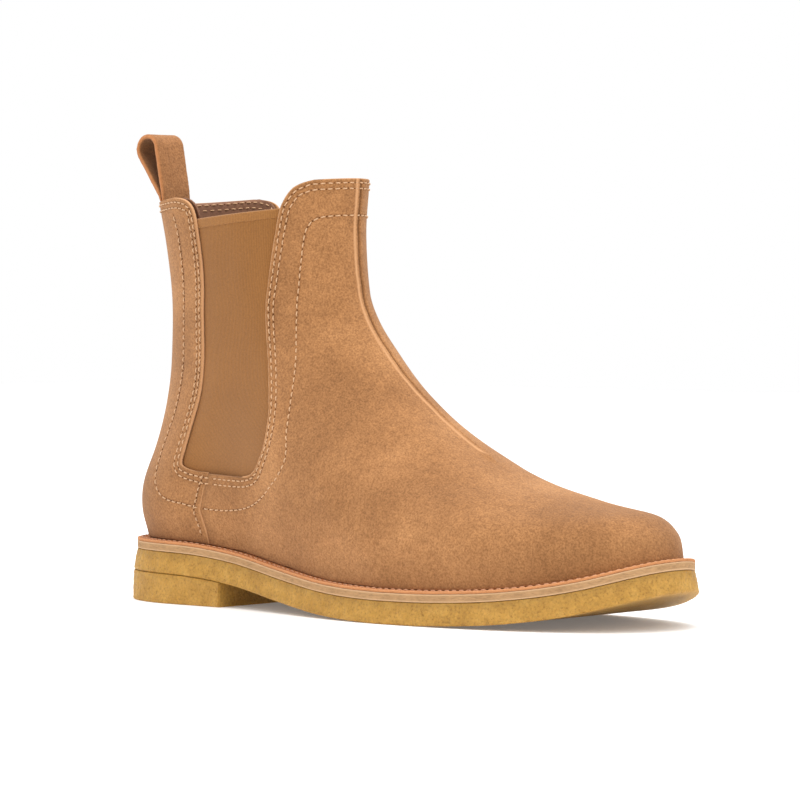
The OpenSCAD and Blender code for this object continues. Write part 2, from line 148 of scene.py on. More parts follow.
def feather(x):
    """Height of the top of the welt at x."""
    r = curve(RISE, x)
    return STACK + HEEL_LIFT * np.maximum(0, r[..., 0]) + TOE_SPRING * np.maximum(0, r[..., 1])


def half_width(t, s, outer, g):
    w, e = curve(WIDTH, t), curve(ENDS, t)
    share = np.where(outer, ease(*BALL_OUTER, s), ease(*BALL_INNER, s))
    ball = np.where(outer, w[..., 1], w[..., 2])
    body = w[..., 0] + (ball - w[..., 0]) * share + g
    heel = 1 - np.clip(s / e[..., 0], 0, 1)
    toe = 1 - np.clip((1 - s) / e[..., 1], 0, 1)
    n = e[..., 2]
    return body * np.sqrt(1 - heel**2) * np.clip(1 - toe**n, 0, 1) ** (1 / n)


def on_level(t, phi, g=0.0):
    """Point of the outside surface at t, phi, with the outline grown by g."""
    t, phi = np.broadcast_arrays(np.asarray(t, float), np.asarray(phi, float))
    f, b = curve(FRONT, t), curve(BACK, t)
    s = (1 + np.cos(np.radians(phi))) / 2
    outer = np.sin(np.radians(phi)) >= 0
    x = (b[..., 0] - g) * (1 - s) + (f[..., 0] + g) * s
    w = half_width(t, s, outer, g)
    lean = TOE_LEAN * s * s * (1 - ease(0, 0.5, t))
    level = BACK[0, 2] * (1 - s) + FRONT[0, 2] * s
    z = b[..., 1] * (1 - s) + f[..., 1] * s + (feather(x) - level) * (1 - ease(0, 0.4, t))
    return np.stack([x, lean - np.where(outer, w, -w), z], -1)


def inward(t, phi):
    """Unit direction into the boot."""
    t, phi = np.broadcast_arrays(np.asarray(t, float), np.asarray(phi, float))
    around = on_level(t, phi + 1.5) - on_level(t, phi - 1.5)
    up = on_level(np.minimum(t + 0.01, 1), phi) - on_level(np.maximum(t - 0.01, 0), phi)
    n = np.cross(around, up)
    return n / np.linalg.norm(n, axis=-1, keepdims=True)


def skin(t, phi, depth=0.0):
    p = on_level(t, phi) + [0, 0, LIFT_OFF]
    return p + np.asarray(depth, float)[..., None] * inward(t, phi)


def side_seam(t):
    return np.interp(t, SIDE_SEAM_T, SIDE_SEAM_PHI)


def vamp_edge(t):
    """Edge of the vamp: under the quarter below the elastic, then up in front of it."""
    return np.where(t <= GORE_BOTTOM, side_seam(t) + 1.5, curve(GORE_FRONT, t)[..., 0])


def quarter_edge(t):
    return np.where(t <= GORE_BACK[0, 0], side_seam(t), curve(GORE_BACK, t)[..., 0])


# ---------------------------------------------------------------- mesh helpers


def make_object(name, verts_mm, faces, material, attributes=None, uv=None):
    """Mesh object from points in millimetres. attributes holds one float per point."""
    mesh = bpy.data.meshes.new(name)
    mesh.from_pydata((np.asarray(verts_mm) * MM).tolist(), [], [list(map(int, f)) for f in faces])
    mesh.validate()
    for key, values in (attributes or {}).items():
        a = mesh.attributes.new(key, "FLOAT", "POINT")
        a.data.foreach_set("value", np.asarray(values, np.float32).ravel())
    if uv is not None:
        layer = mesh.uv_layers.new(name="UVMap")
        loops = np.empty(len(mesh.loops), int)
        mesh.loops.foreach_get("vertex_index", loops)
        layer.data.foreach_set("uv", np.asarray(uv, np.float32)[loops].ravel())
    mesh.polygons.foreach_set("use_smooth", [True] * len(mesh.polygons))
    mesh.materials.append(material)
    obj = bpy.data.objects.new(name, mesh)
    bpy.context.scene.collection.objects.link(obj)
    return obj


def clustered(length, step, fine=(0, 0.12, 0.35, 0.7, 1.15)):
    """Shares 0..1 of a length in mm, about a step apart, with extra ones near both ends."""
    fine = np.array(fine) / length
    n = max(2, int(round((length - 2 * fine[-1] * length) / step)))
    middle = np.linspace(fine[-1], 1 - fine[-1], n + 1)[1:-1]
    return np.concatenate([fine, middle, 1 - fine[::-1]])


def row_lengths(p):
    """Distances in mm from both ends of each row of a grid of points."""
    d = np.linalg.norm(np.diff(p, axis=1), axis=2)
    start = np.concatenate([np.zeros((len(p), 1)), np.cumsum(d, axis=1)], axis=1)
    return start, start[:, -1:] - start


def noise_at(p, scale, seed=0.0):
    """Smooth noise from -1 to 1 at points in mm, with features about scale mm across."""
    q = p.reshape(-1, 3) / scale + seed
    return np.array([noise.noise(Vector(v)) for v in q]).reshape(p.shape[:-1])


def sheet_faces(rows, cols):
    """Quads of a closed slab between two grids that share rows and columns."""
    size = rows * cols
    i = np.arange(size).reshape(rows, cols)
    a, b, c, d = i[:-1, :-1], i[:-1, 1:], i[1:, 1:], i[1:, :-1]
    outer = np.stack([a, b, c, d], -1).reshape(-1, 4)
    faces = [outer, outer[:, ::-1] + size]
    rim = [i[0, ::-1], i[-1], i[:, 0], i[::-1, -1]]
    for r in rim:
        faces.append(np.stack([r[1:], r[:-1], r[:-1] + size, r[1:] + size], -1)[:, ::-1])
    return np.concatenate(faces)


def ply(name, material, t, phi, depth, thick, out=None, rim_round=None, shade=None, border=None,
        cut_edge_and_highlight=0.0):
    """One ply of the upper over the grid t, phi, with rounded edges.

    out is how far the outside stands proud at each grid point, in mm. border holds points
    along the ply's edge, where that isn't the edge of the grid. The last argument, 0 to 1, is
    how much the outside takes the pale cut-edge colour: a cut edge's colour plus painted highlight.
    """
    base = skin(t, phi)
    left, right = row_lengths(base)
    down, up = (a.T for a in row_lengths(base.transpose(1, 0, 2)))
    edge = np.minimum(np.minimum(left, right), np.minimum(down, up))
    if border is not None:
        edge = 3 * (1 - near(base.reshape(-1, 3), border, 3.0)).reshape(edge.shape)
    r = thick / 2 if rim_round is None else rim_round
    k = np.clip(1 - edge / r, 0, 1)
    tuck = r * (1 - np.sqrt(np.clip(1 - k * k, 0, 1)))
    n = inward(t, phi)
    proud = np.zeros_like(edge) if out is None else out
    outer = base + (depth + tuck - proud)[..., None] * n
    inner = base + (depth + thick - tuck * 0.9 - proud * 0.5)[..., None] * n
    verts = np.concatenate([outer.reshape(-1, 3), inner.reshape(-1, 3)])
    rim = np.clip(1 - edge / 0.6, 0, 1).ravel()
    attributes = {"rim": np.concatenate([np.maximum(rim, np.ravel(cut_edge_and_highlight)), rim])}
    if shade is not None:
        attributes["shade"] = np.tile(shade.ravel(), 2)
    mid = t.shape[1] // 2
    across = left - left[:, mid:mid + 1]
    uv = np.stack([across, np.broadcast_to(down, across.shape)], -1).reshape(-1, 2) * MM
    return make_object(name, verts, sheet_faces(*t.shape), material, attributes, np.tile(uv, (2, 1)))


# ---------------------------------------------------------------- materials


def new_material(name):
    m = bpy.data.materials.new(name)
    m.use_nodes = True
    tree = m.node_tree
    return m, tree, tree.nodes["Principled BSDF"], tree.nodes.new("ShaderNodeTexCoord").outputs


def node(tree, kind, **values):
    n = tree.nodes.new(kind)
    for key, value in values.items():
        if hasattr(n, key):
            setattr(n, key, value)
        else:
            n.inputs[key].default_value = value
    return n


def ramp(tree, factor, stops):
    """Colour that follows factor through stops of (position, colour)."""
    r = tree.nodes.new("ShaderNodeValToRGB")
    while len(r.color_ramp.elements) < len(stops):
        r.color_ramp.elements.new(0.5)
    for e, (at, colour) in zip(r.color_ramp.elements, stops):
        e.position = at
        e.color = (*colour, 1)
    tree.links.new(factor, r.inputs["Fac"])
    return r.outputs["Color"]


def mix_colour(tree, blend, factor, a, b):
    m = tree.nodes.new("ShaderNodeMix")
    m.data_type = "RGBA"
    m.blend_type = blend
    for socket, value in ((m.inputs[0], factor), (m.inputs[6], a), (m.inputs[7], b)):
        if hasattr(value, "is_linked"):
            tree.links.new(value, socket)
        elif isinstance(value, tuple):
            socket.default_value = (*value, 1)
        else:
            socket.default_value = value
    return m.outputs[2]


def tinted(tree, colour, amount, factor, stops):
    """The colour multiplied by a ramp that follows factor."""
    return mix_colour(tree, "MULTIPLY", amount, colour, ramp(tree, factor, stops))


def settle(bsdf, values):
    """Plain values on the shader's own sockets."""
    for key, value in values.items():
        bsdf.inputs[key].default_value = value


def noise_node(tree, coords, scale, detail=3.0, rough=0.55, distortion=0.0):
    n = node(tree, "ShaderNodeTexNoise", Scale=scale, Detail=detail, Roughness=rough,
             Distortion=distortion)
    tree.links.new(coords, n.inputs["Vector"])
    return n.outputs["Fac"]


def stretched(tree, coords, scale):
    m = tree.nodes.new("ShaderNodeMapping")
    m.inputs["Scale"].default_value = scale
    tree.links.new(coords, m.inputs["Vector"])
    return m.outputs["Vector"]


def attribute(tree, name):
    a = tree.nodes.new("ShaderNodeAttribute")
    a.attribute_name = name
    return a.outputs["Fac"]


def bump_chain(tree, bsdf, layers):
    """layers: (height socket, strength, distance in metres), coarse to fine."""
    last = None
    for height, strength, distance in layers:
        b = node(tree, "ShaderNodeBump", Strength=strength, Distance=distance)
        tree.links.new(height, b.inputs["Height"])
        if last is not None:
            tree.links.new(last, b.inputs["Normal"])
        last = b.outputs["Normal"]
    tree.links.new(last, bsdf.inputs["Normal"])


def suede(name, dark, mid, light, edge, nap=1.0):
    """Brushed suede: soft patches where the nap lies differently, fine fibres, pale cut edges."""
    m, tree, bsdf, tex = new_material(name)
    patches = noise_node(tree, tex["Object"], 24, 3, 0.5, 0.3)
    strokes = noise_node(tree, tex["Object"], 320, 3, 0.6)
    fibres = noise_node(tree, tex["Object"], 1150, 3, 0.7)
    r = ramp(tree, patches, [(0.34, dark), (0.5, mid), (0.68, light)])
    colour = tinted(tree, r, 1.0, strokes,
                    [(0.34, (0.90, 0.89, 0.88)), (0.5, (1, 1, 1)), (0.66, (1.07, 1.075, 1.08))])
    colour = tinted(tree, colour, 0.8, fibres,
                    [(0.36, (0.66, 0.62, 0.58)), (0.5, (1, 1, 1)), (0.66, (1.32, 1.36, 1.42))])
    # Painted shade: darker where the shade attribute is set
    colour = mix_colour(tree, "MIX", attribute(tree, "shade"), colour,
                        tuple(c * 0.55 for c in dark))
    colour = mix_colour(tree, "MIX", attribute(tree, "rim"), colour, edge)
    tree.links.new(colour, bsdf.inputs["Base Color"])
    rough = ramp(tree, strokes, [(0, (0.82,) * 3), (1, (1, 1, 1))])
    tree.links.new(rough, bsdf.inputs["Roughness"])
    settle(bsdf, {"Specular IOR Level": 0.18, "Sheen Weight": 0.12, "Sheen Roughness": 0.55,
                  "Sheen Tint": (1.0, 0.86, 0.72, 1)})
    bump_chain(tree, bsdf, [(strokes, 0.22 * nap, 0.0006),
                            (fibres, 0.75 * nap, 0.00035)])
    return m


def elastic_cloth(name, base, dark):
    """Woven elastic: fine upright ribs crossed by a finer weft."""
    m, tree, bsdf, tex = new_material(name)
    ribs = node(tree, "ShaderNodeTexWave", Scale=2100.0 / (2 * math.pi), Distortion=0.3, Detail=1.0)
    ribs.bands_direction = "X"
    tree.links.new(tex["UV"], ribs.inputs["Vector"])
    weft = node(tree, "ShaderNodeTexWave", Scale=3600.0 / (2 * math.pi), Distortion=0.3, Detail=1.0)
    weft.bands_direction = "Y"
    tree.links.new(tex["UV"], weft.inputs["Vector"])
    fuzz = noise_node(tree, tex["Object"], 1400, 2, 0.6)
    patches = noise_node(tree, tex["Object"], 30, 2, 0.5)
    r = ramp(tree, ribs.outputs["Fac"], [(0.2, dark), (0.8, base)])
    colour = tinted(tree, r, 0.8, weft.outputs["Fac"],
                    [(0.0, (0.86, 0.86, 0.86)), (1.0, (1.05, 1.05, 1.05))])
    colour = tinted(tree, colour, 0.8, patches, [(0.3, (0.92, 0.91, 0.9)), (0.7, (1.06, 1.06, 1.06))])
    colour = tinted(tree, colour, 0.7, fuzz, [(0.35, (0.84, 0.83, 0.82)), (0.65, (1.12, 1.12, 1.12))])
    tree.links.new(colour, bsdf.inputs["Base Color"])
    settle(bsdf, {"Roughness": 0.85, "Specular IOR Level": 0.25, "Sheen Weight": 0.2})
    bump_chain(tree, bsdf, [(ribs.outputs["Fac"], 0.22, 0.0003),
                            (weft.outputs["Fac"], 0.2, 0.0002), (fuzz, 0.3, 0.0002)])
    return m


def grained(name, dark, light, scale, rough=(0.5, 0.7), bump=0.3, distance=0.0004, spec=0.35):
    """Plain leather, board, cork or lining: two sizes of mottling with a grain."""
    m, tree, bsdf, tex = new_material(name)
    patches = noise_node(tree, tex["Object"], scale, 4, 0.6)
    grain = noise_node(tree, tex["Object"], 1200, 3, 0.6)
    r = ramp(tree, patches, [(0.3, dark), (0.7, light)])
    colour = tinted(tree, r, 0.7, grain, [(0.35, (0.8, 0.79, 0.78)), (0.65, (1.12, 1.12, 1.12))])
    tree.links.new(colour, bsdf.inputs["Base Color"])
    rr = ramp(tree, patches, [(0, (rough[0],) * 3), (1, (rough[1],) * 3)])
    tree.links.new(rr, bsdf.inputs["Roughness"])
    settle(bsdf, {"Specular IOR Level": spec})
    bump_chain(tree, bsdf, [(patches, bump, distance), (grain, bump, distance / 2)])
    return m


def crepe(name, deep, mid, pale):
    """Crepe rubber: cloudy honey colour, pitted skin, and darker cut pores."""
    m, tree, bsdf, tex = new_material(name)
    clouds = noise_node(tree, tex["Object"], 110, 4, 0.62, 0.3)
    grains = node(tree, "ShaderNodeTexVoronoi", Scale=620.0, Randomness=1.0)
    tree.links.new(tex["Object"], grains.inputs["Vector"])
    pores = noise_node(tree, tex["Object"], 900, 4, 0.7)
    r = ramp(tree, clouds, [(0.28, deep), (0.5, mid), (0.75, pale)])
    colour = tinted(tree, r, 0.75, pores,
                    [(0.33, (0.52, 0.45, 0.36)), (0.47, (1, 1, 1)), (0.7, (1.22, 1.2, 1.14))])
    colour = tinted(tree, colour, 0.5, grains.outputs["Distance"],
                    [(0.0, (1.1, 1.1, 1.08)), (0.7, (0.86, 0.84, 0.8))])
    # Painted shade: darker where the shade attribute is set
    colour = mix_colour(tree, "MIX", attribute(tree, "shade"), colour,
                        tuple(c * 0.35 for c in deep))
    tree.links.new(colour, bsdf.inputs["Base Color"])
    settle(bsdf, {"Roughness": 0.62, "Specular IOR Level": 0.35, "Subsurface Weight": 0.25,
                  "Subsurface Radius": (1.0, 0.6, 0.25), "Subsurface Scale": 0.002})
    bump_chain(tree, bsdf, [(clouds, 0.2, 0.0012), (grains.outputs["Distance"], 0.35, 0.0005),
                            (pores, 0.5, 0.0005)])
    return m


def edge_leather(name, base, line, thickness, fuzz):
    """Cut edge of a leather layer: fibres along it, paler near its top and bottom."""
    m, tree, bsdf, tex = new_material(name)
    coords = stretched(tree, tex["Object"], (400, 400, 1900))
    fibres = noise_node(tree, coords, 1, 4, 0.65)
    patches = noise_node(tree, tex["Object"], 90, 3, 0.6)
    dark, pale = tuple(c * 0.72 for c in base), tuple(min(1, c * 1.2) for c in base)
    r = ramp(tree, fibres, [(0.3, dark), (0.5, base), (0.72, pale)])
    colour = tinted(tree, r, 0.8, patches, [(0.3, (0.85, 0.83, 0.8)), (0.7, (1.1, 1.1, 1.1))])
    colour = mix_colour(tree, "MIX", attribute(tree, "rim"), colour, line)
    tree.links.new(colour, bsdf.inputs["Base Color"])
    settle(bsdf, {"Roughness": 0.85, "Specular IOR Level": 0.25})
    bump_chain(tree, bsdf, [(patches, 0.2, thickness), (fibres, fuzz, 0.0005)])
    return m


def thread(name, colour, dark):
    m, tree, bsdf, tex = new_material(name)
    twist = noise_node(tree, stretched(tree, tex["Object"], (2500, 2500, 2500)), 1, 2)
    r = ramp(tree, twist, [(0.35, dark), (0.65, colour)])
    tree.links.new(r, bsdf.inputs["Base Color"])
    settle(bsdf, {"Roughness": 0.6})
    bump_chain(tree, bsdf, [(twist, 0.5, 0.0002)])
    return m


def metal(name, colour):
    m, tree, bsdf, tex = new_material(name)
    brushed = noise_node(tree, stretched(tree, tex["Object"], (60, 1400, 1400)), 1, 3)
    r = ramp(tree, brushed, [(0.3, tuple(c * 0.8 for c in colour)), (0.7, colour)])
    tree.links.new(r, bsdf.inputs["Base Color"])
    settle(bsdf, {"Metallic": 1.0})
    rr = ramp(tree, brushed, [(0, (0.3,) * 3), (1, (0.45,) * 3)])
    tree.links.new(rr, bsdf.inputs["Roughness"])
    bump_chain(tree, bsdf, [(brushed, 0.1, 0.0001)])
    return m


SUEDE = suede("suede", (0.290, 0.129, 0.046), (0.350, 0.160, 0.059), (0.420, 0.200, 0.077),
              (0.60, 0.32, 0.155))
STRAP = suede("strap_suede", (0.270, 0.112, 0.040), (0.335, 0.146, 0.054), (0.39, 0.178, 0.070),
              (0.46, 0.185, 0.068), 1.3)
# The backstay is the same suede painted darker: painted shade, as the strip at the back lies in shadow
SHADED_BACKSTAY = suede("backstay_suede_painted_shade", (0.16, 0.072, 0.034), (0.21, 0.097, 0.046), (0.27, 0.13, 0.06),
                 (0.10, 0.045, 0.022))
ELASTIC = elastic_cloth("elastic", (0.295, 0.122, 0.027), (0.250, 0.101, 0.021))
HEM = elastic_cloth("elastic_hem", (0.335, 0.145, 0.036), (0.285, 0.119, 0.028))
LINING = grained("lining_leather", (0.19, 0.085, 0.045), (0.26, 0.125, 0.068), 60, (0.55, 0.75), 0.2)
SOCK = grained("sock_leather", (0.32, 0.18, 0.10), (0.41, 0.245, 0.14), 50, (0.5, 0.7), 0.2)
PAD = grained("pad_leather", (0.28, 0.15, 0.085), (0.35, 0.195, 0.11), 70, (0.5, 0.7), 0.25)
CREPE = crepe("crepe_rubber", (0.365, 0.190, 0.031), (0.440, 0.238, 0.043), (0.525, 0.300, 0.066))
MIDSOLE = edge_leather("midsole_edge", (0.41, 0.24, 0.115), (0.58, 0.37, 0.205), 0.0005, 0.5)
WELT = edge_leather("welt_edge", (0.46, 0.175, 0.062), (0.60, 0.27, 0.115), 0.0006, 1.0)
THREAD = thread("seam_thread", (0.66, 0.41, 0.23), (0.50, 0.29, 0.15))
WELT_THREAD = thread("welt_thread", (0.62, 0.31, 0.165), (0.42, 0.18, 0.085))
# Needle holes: painted shade, the dark inside of the holes
HOLE = grained("needle_hole", (0.13, 0.052, 0.020), (0.18, 0.075, 0.030), 400, (0.9, 1.0), 0.2, spec=0.1)
BOARD = grained("board", (0.40, 0.28, 0.16), (0.52, 0.38, 0.24), 150, (0.7, 0.9), 0.3)
CORK = grained("cork", (0.20, 0.11, 0.05), (0.42, 0.26, 0.13), 420, (0.8, 0.95), 0.6, 0.0008)
CANVAS = grained("stiff_canvas", (0.55, 0.48, 0.38), (0.70, 0.63, 0.52), 700, (0.8, 0.9), 0.4)
STEEL = metal("spring_steel", (0.55, 0.55, 0.56))

# ---------------------------------------------------------------- seams on the upper


def surface_curve(knots, step=0.6):
    """Smooth curve through knots (t, phi) on the surface: t, phi about a step mm apart."""
    k = np.array([[i, a, b] for i, (a, b) in enumerate(knots)], float)
    s = np.linspace(0, len(knots) - 1, 60 * len(knots))
    q = curve(k, s)
    return resample(q[:, 0], q[:, 1], step)


def resample(t, phi, step):
    p = skin(t, phi)
    d = np.concatenate([[0], np.cumsum(np.linalg.norm(np.diff(p, axis=0), axis=1))])
    n = max(2, int(round(d[-1] / step)))
    at = np.linspace(0, d[-1], n + 1)
    return np.interp(at, d, t), np.interp(at, d, phi)


def offset_curve(t, phi, distance):
    """The curve moved sideways over the surface by distance mm, to the right of its way."""
    e_t, e_p = 0.002, 0.3
    along_t = (on_level(t + e_t, phi) - on_level(t - e_t, phi)) / (2 * e_t)
    along_p = (on_level(t, phi + e_p) - on_level(t, phi - e_p)) / (2 * e_p)
    p = on_level(t, phi)
    way = np.gradient(p, axis=0)
    way /= np.linalg.norm(way, axis=1, keepdims=True)
    n = inward(t, phi)
    side = np.cross(way, n) * distance
    g11, g12, g22 = ((a * b).sum(1) for a, b in
                     ((along_t, along_t), (along_t, along_p), (along_p, along_p)))
    r1, r2 = (side * along_t).sum(1), (side * along_p).sum(1)
    det = g11 * g22 - g12 * g12
    return t + (r1 * g22 - r2 * g12) / det, phi + (r2 * g11 - r1 * g12) / det


def front_edge_knots():
    """Edge of the vamp from the front seam over the top, down beside and under the elastic."""
    down = [(k[0], k[1]) for k in GORE_FRONT[::-1]]
    return ([(0.9955, 0.0), (0.9955, 10), (0.9955, 20)] + down
            + [(GORE_BOTTOM + 0.001, 108), (GORE_BOTTOM, 112), (GORE_BOTTOM, 116.8)])


def back_edge_knots():
    """Edge of a quarter from the side seam under the elastic, up beside it to the back."""
    return ([(GORE_BOTTOM, 117.2), (GORE_BOTTOM + 0.001, 119.5)] + [(k[0], k[1]) for k in GORE_BACK]
            + [(0.9885, 135), (0.9885, 155), (0.9885, 178)])


FRONT_EDGE = surface_curve(front_edge_knots(), 0.5)
BACK_EDGE = surface_curve(back_edge_knots(), 0.5)
LINE_FRONT = surface_curve([
    (0.897, -2), (0.897, 10), (0.897, 22), (0.894, 32), (0.878, 38.5), (0.845, 42), (0.77, 45.5),
    (0.69, 49.5), (0.585, 58), (0.455, 70), (0.37, 76.5), (0.29, 81.5), (0.235, 88),
    (0.195, 94.5), (0.155, 101), (0.125, 107), (0.105, 113), (0.096, 119), (0.095, 124.3),
])
LINE_BACK = surface_curve([
    (0.096, 126), (0.105, 130), (0.12, 136.5), (0.16, 140.5), (0.22, 141.5), (0.30, 140), (0.42, 135),
    (0.55, 130), (0.70, 126.5), (0.82, 124.5), (0.90, 123.5), (0.945, 124.5),
])
SIDE_SEAM = surface_curve([(t, np.interp(t, SIDE_SEAM_T, SIDE_SEAM_PHI) + 1.6)
                           for t in (GORE_BOTTOM - 0.006, 0.17, 0.12, 0.09, 0.05, 0.012)])

STITCH_PITCH = 3.45
STITCH_LENGTH = 2.35
THREAD_R = 0.33
FIRST_STITCH = 1.2
# How far a stitch leans from its row, as a tangent
SLANT = 0.06


def other_side(line):
    return line[0], -line[1]


def stitch_spots(line, pitch, inside):
    """Middle of each stitch along a curve: points, directions and normals away from the leather."""
    t, phi = line
    depth = LINING_DEPTH + LINING_T if inside else 0.0
    p = skin(t, phi, depth)
    d = np.concatenate([[0], np.cumsum(np.linalg.norm(np.diff(p, axis=0), axis=1))])
    at = np.arange(FIRST_STITCH, d[-1] - FIRST_STITCH, pitch)
    tt, pp = np.interp(at, d, t), np.interp(at, d, phi)
    ahead = skin(np.interp(at + 0.4, d, t), np.interp(at + 0.4, d, phi), depth)
    here = skin(tt, pp, depth)
    way = ahead - here
    way /= np.linalg.norm(way, axis=1, keepdims=True)
    return here, way, inward(tt, pp) * (1 if inside else -1)


def capsules(here, way, normal, length, radius, rise, dip):
    """Short threads that arch out of the surface, as one mesh: points and faces."""
    rings, sides = 7, 6
    u = np.linspace(-1, 1, rings)
    arch = dip + (rise - dip) * (1 - np.abs(u) ** 3)
    width = radius * np.sqrt(1 - (np.abs(u) * 0.93) ** 6)
    side = np.cross(way, normal)
    angle = np.arange(sides) * 2 * np.pi / sides
    centre = (here[:, None] + way[:, None] * (u * length / 2)[None, :, None]
              + normal[:, None] * arch[None, :, None])
    ring = (side[:, None, None] * np.cos(angle)[None, None, :, None]
            + normal[:, None, None] * np.sin(angle)[None, None, :, None]) * width[None, :, None, None]
    verts = (centre[:, :, None] + ring).reshape(-1, 3)
    faces = []
    for s in range(len(here)):
        o = s * rings * sides
        for r in range(rings - 1):
            for k in range(sides):
                a, b = o + r * sides + k, o + r * sides + (k + 1) % sides
                faces.append((a, b, b + sides, a + sides))
        faces.append(tuple(o + k for k in range(sides))[::-1])
        faces.append(tuple(o + (rings - 1) * sides + k for k in range(sides)))
    return verts, faces


def pits(here, way, normal, radius, proud):
    """Small lens-shaped pits where the needle went in, dark with painted shade in the holes."""
    sides = 8
    angle = np.arange(sides) * 2 * np.pi / sides
    side = np.cross(way, normal)
    flat = (way[:, None] * np.cos(angle)[None, :, None] * 1.15
            + side[:, None] * np.sin(angle)[None, :, None]) * radius
    rim = here[:, None] + flat - normal[:, None] * 0.25
    top = here[:, None] + flat * 0.8 + normal[:, None] * proud
    middle = (here + normal * proud)[:, None]
    verts = np.concatenate([rim, top, middle], axis=1).reshape(-1, 3)
    faces = []
    for s in range(len(here)):
        o = s * (2 * sides + 1)
        for k in range(sides):
            j = (k + 1) % sides
            faces.append((o + k, o + j, o + sides + j, o + sides + k))
            faces.append((o + sides + k, o + sides + j, o + 2 * sides))
        faces.append(tuple(o + k for k in range(sides))[::-1])
    return verts, faces


def joined(parts):
    verts, faces, base = [], [], 0
    for v, f in parts:
        verts.append(v)
        faces.extend(tuple(i + base for i in q) for q in f)
        base += len(v)
    return np.concatenate(verts), faces


rng = np.random.default_rng(7)


def sew(name, lines, body, pitch=STITCH_PITCH, length=STITCH_LENGTH, proud=0.0, inside=False):
    """Rows of stitches and their needle holes along surface curves."""
    threads, dots = [], []
    for line in lines:
        here, way, normal = stitch_spots(line, pitch, inside)
        way = way + np.cross(way, normal) * rng.normal(0, SLANT, (len(way), 1))
        way /= np.linalg.norm(way, axis=1, keepdims=True)
        here = here + normal * proud
        threads.append(capsules(here, way, normal, length, THREAD_R, 0.22, -0.35))
        ends = here + way * pitch / 2
        dots.append(pits(ends, way, normal, 0.36, 0.04))
    made = [make_object(name + "_thread", *joined(threads), THREAD),
            make_object(name + "_needle_holes", *joined(dots), HOLE)]
    for o in made:
        if isinstance(body, str):
            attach(o, body)
        else:
            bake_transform(o)
    return made


def near(points, line_points, reach):
    """1 at the lines, falling to 0 at reach mm from them."""
    out = np.zeros(len(points))
    lo, hi = line_points.min(0) - reach, line_points.max(0) + reach
    idx = np.where(((points > lo) & (points < hi)).all(1))[0]
    for part in np.array_split(idx, max(1, len(idx) // 4000)):
        d = np.sqrt(((points[part, None] - line_points[None]) ** 2).sum(2)).min(1)
        out[part] = np.clip(1 - d / reach, 0, 1)
    return out


def above(height, line):
    """The part of a curve above t = height."""
    keep = line[0] > height
    return line[0][keep], line[1][keep]


def both(lines):
    return lines + [other_side(line) for line in lines]


ROWS_FRONT = [offset_curve(*FRONT_EDGE, 2.0), offset_curve(*FRONT_EDGE, 4.6)]
ROWS_BACK = [offset_curve(*BACK_EDGE, 2.0), offset_curve(*BACK_EDGE, 4.6)]

BEND_START = (BACK[0, 1] * MM, 0, 0.054 * KZ)
BEND_END = (BACK[0, 1] * MM, 0, 0.084 * KZ)
BACK_BEND = ("boot", "back", BEND_START, BEND_END)

# ---------------------------------------------------------------- the upper


def sew_marks(p, lines):
    """Dent along rows of stitches, in mm."""
    reach, depth = 1.3, 0.28
    flat = p.reshape(-1, 3)
    marks = np.zeros(len(flat))
    for line in lines:
        pts = skin(*line)[::2]
        marks = np.maximum(marks, near(flat, pts, reach))
    return depth * ease(0, 1, marks).reshape(p.shape[:-1])


SEAM_LOW = 0.305


def vamp_grid():
    """Rows of the vamp, with columns that stay put over most of it and follow its edges."""
    ts = np.concatenate([
        [0, 0.0008, 0.002, 0.004, 0.007], np.linspace(0.012, 0.200, 44),
        [0.2025, 0.2045, 0.206, 0.2072, 0.2082, GORE_BOTTOM], np.linspace(0.2105, 0.25, 20),
        np.linspace(0.254, 0.9, 118), np.linspace(0.904, 0.986, 24),
        [0.988, 0.990, 0.992, 0.9935, 0.9945, 0.995]])
    near_seam = np.arange(0, 6.1, 0.35)
    rows = []
    for t in ts:
        e = float(vamp_edge(t))
        mid, knee = min(60, 0.8 * e), min(90, 0.92 * e)
        seam = near_seam * min(1, mid / 20)
        inner = np.concatenate([seam, np.linspace(seam[-1], mid, 50)[1:]])
        middle = np.linspace(mid, knee, 26)[1:]
        fine = np.array([1.15, 0.7, 0.35, 0.12, 0.0]) / 0.62 * min(1, (e - knee) / 5)
        outer = np.concatenate([np.linspace(knee, e - fine[0], 18)[1:], e - fine[1:]])
        row = np.concatenate([inner, middle, outer])
        rows.append(np.concatenate([-row[:0:-1], row]))
    return np.repeat(ts[:, None], len(rows[0]), axis=1), np.array(rows)


def creases(p):
    """Soft folds where the foot bends, and slight unevenness elsewhere, in mm."""
    x, y, z = p[..., 0], p[..., 1], p[..., 2]
    bend = ease(95, 125, x) * (1 - ease(165, 205, x)) * (1 - ease(74, 92, z))
    along = x * 0.86 + z * 0.9 + 3.5 * np.sin(y / 17)
    folds = np.sin(along / 4.3) * 0.45 + np.sin(along / 7.7 + 1.3) * 0.55
    slow = noise_at(p, 30, 3.1)
    return 0.8 * bend * folds * (0.6 + 0.8 * slow) + 0.5 * slow


